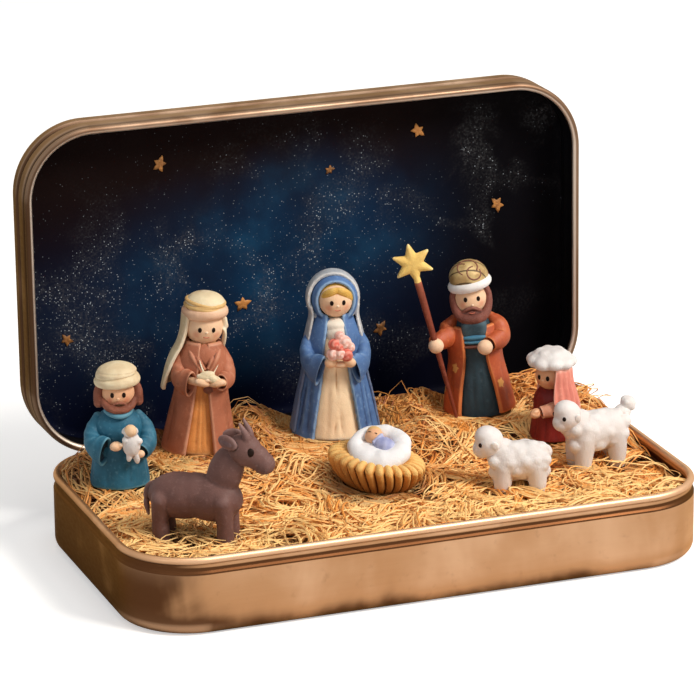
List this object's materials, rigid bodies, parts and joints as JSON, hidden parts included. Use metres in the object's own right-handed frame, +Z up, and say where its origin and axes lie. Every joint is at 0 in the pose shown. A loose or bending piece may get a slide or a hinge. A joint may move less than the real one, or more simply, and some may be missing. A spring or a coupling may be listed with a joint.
{
  "type": "pocket nativity tin",
  "caption": "Hinged rounded tin, open, holding a straw bed with loose clay nativity figures under a lid lined with a night sky.",
  "frame": {"origin": "middle of the tin base's underside, on the surface it stands on", "axes": "+X along the tin's length to the viewer's right, +Y from the open front back to the hinge, +Z up"},
  "size_m": [0.095, 0.0631, 0.0653],
  "materials": {
    "tin_metal": "satin brushed, lacquered",
    "sky_print": "printed night sky, semi-gloss",
    "straw": "loose natural straw",
    "skin_clay": "matte painted clay",
    "cream_clay": "matte painted clay",
    "white_clay": "matte painted clay, woolly texture",
    "teal_clay": "matte painted clay",
    "brown_hair_clay": "matte painted clay",
    "rose_brown_clay": "matte painted clay",
    "tan_clay": "matte painted clay",
    "blue_clay": "matte painted clay",
    "grey_veil_clay": "matte painted clay",
    "gold_hair_clay": "matte painted clay",
    "rose_clay": "matte painted clay",
    "rust_clay": "matte painted clay, small gold motifs",
    "dark_teal_clay": "matte painted clay",
    "gold_paint": "gold painted clay",
    "staff_brown": "painted",
    "dark_red_clay": "matte painted clay",
    "pink_red_clay": "matte painted clay",
    "lavender_clay": "matte painted clay",
    "basket_straw": "ribbed painted clay",
    "mauve_clay": "matte clay"
  },
  "bodies": {
    "tin": {"tin_base": "tin_metal", "straw_bed": "straw"},
    "lid": {"tin_lid": "tin_metal", "sky_liner": "sky_print"},
    "shepherd": {"shepherd_cap": "cream_clay", "shepherd_hair": "brown_hair_clay", "shepherd_hand": "skin_clay", "shepherd_head": "skin_clay", "shepherd_left_sleeve": "teal_clay", "shepherd_right_sleeve": "teal_clay", "shepherd_robe": "teal_clay", "held_lamb": "white_clay"},
    "father": {"father_cap": "cream_clay", "father_coat": "rose_brown_clay", "father_hands": "skin_clay", "father_head": "skin_clay", "father_headcloth": "cream_clay", "father_left_sleeve": "rose_brown_clay", "father_right_sleeve": "rose_brown_clay", "father_tunic": "tan_clay"},
    "mother": {"mother_gown": "cream_clay", "mother_hair": "gold_hair_clay", "mother_hands": "skin_clay", "mother_head": "skin_clay", "mother_left_sleeve": "blue_clay", "mother_mantle": "blue_clay", "mother_right_sleeve": "blue_clay", "mother_veil": "grey_veil_clay", "rose_bunch": "rose_clay"},
    "wise_man": {"wise_man_beard": "brown_hair_clay", "wise_man_brim": "white_clay", "wise_man_coat": "rust_clay", "wise_man_dome": "gold_paint", "wise_man_gown": "dark_teal_clay", "wise_man_head": "skin_clay", "wise_man_left_hand": "skin_clay", "wise_man_left_sleeve": "rust_clay", "wise_man_right_hand": "skin_clay", "wise_man_right_sleeve": "rust_clay", "wise_man_staff": "staff_brown", "staff_star": "gold_paint"},
    "child": {"child_cap": "white_clay", "child_hand": "skin_clay", "child_head": "skin_clay", "child_headcloth": "pink_red_clay", "child_robe": "dark_red_clay", "child_sleeve": "tan_clay"},
    "manger": {"baby_head": "skin_clay", "baby_swaddle": "lavender_clay", "manger_basket": "basket_straw", "manger_blanket": "white_clay"},
    "donkey": {"donkey_body": "mauve_clay", "donkey_head": "mauve_clay"},
    "little_sheep": {"little_sheep_body": "white_clay", "little_sheep_head": "white_clay"},
    "big_sheep": {"big_sheep_body": "white_clay", "big_sheep_head": "white_clay", "big_sheep_tail": "white_clay"}
  },
  "joints": [
    {"name": "lid_hinge", "type": "hinge", "parent": "tin", "child": "lid", "pos_m": [0, 0.0264, 0.0119], "axis": [1, 0, 0], "range_deg": [0, 18]},
    {"name": "shepherd_lift", "type": "slide", "parent": "tin", "child": "shepherd", "axis": [0, 0, 1], "range_m": [0, 0.06]},
    {"name": "father_lift", "type": "slide", "parent": "tin", "child": "father", "axis": [0, 0, 1], "range_m": [0, 0.06]},
    {"name": "mother_lift", "type": "slide", "parent": "tin", "child": "mother", "axis": [0, 0, 1], "range_m": [0, 0.06]},
    {"name": "wise_man_lift", "type": "slide", "parent": "tin", "child": "wise_man", "axis": [0, 0, 1], "range_m": [0, 0.06]},
    {"name": "child_lift", "type": "slide", "parent": "tin", "child": "child", "axis": [0, 0, 1], "range_m": [0, 0.06]},
    {"name": "manger_lift", "type": "slide", "parent": "tin", "child": "manger", "axis": [0, 0, 1], "range_m": [0, 0.06]},
    {"name": "donkey_lift", "type": "slide", "parent": "tin", "child": "donkey", "axis": [0, 0, 1], "range_m": [0, 0.06]},
    {"name": "little_sheep_lift", "type": "slide", "parent": "tin", "child": "little_sheep", "axis": [0, 0, 1], "range_m": [0, 0.06]},
    {"name": "big_sheep_lift", "type": "slide", "parent": "tin", "child": "big_sheep", "axis": [0, 0, 1], "range_m": [0, 0.06]}
  ]
}
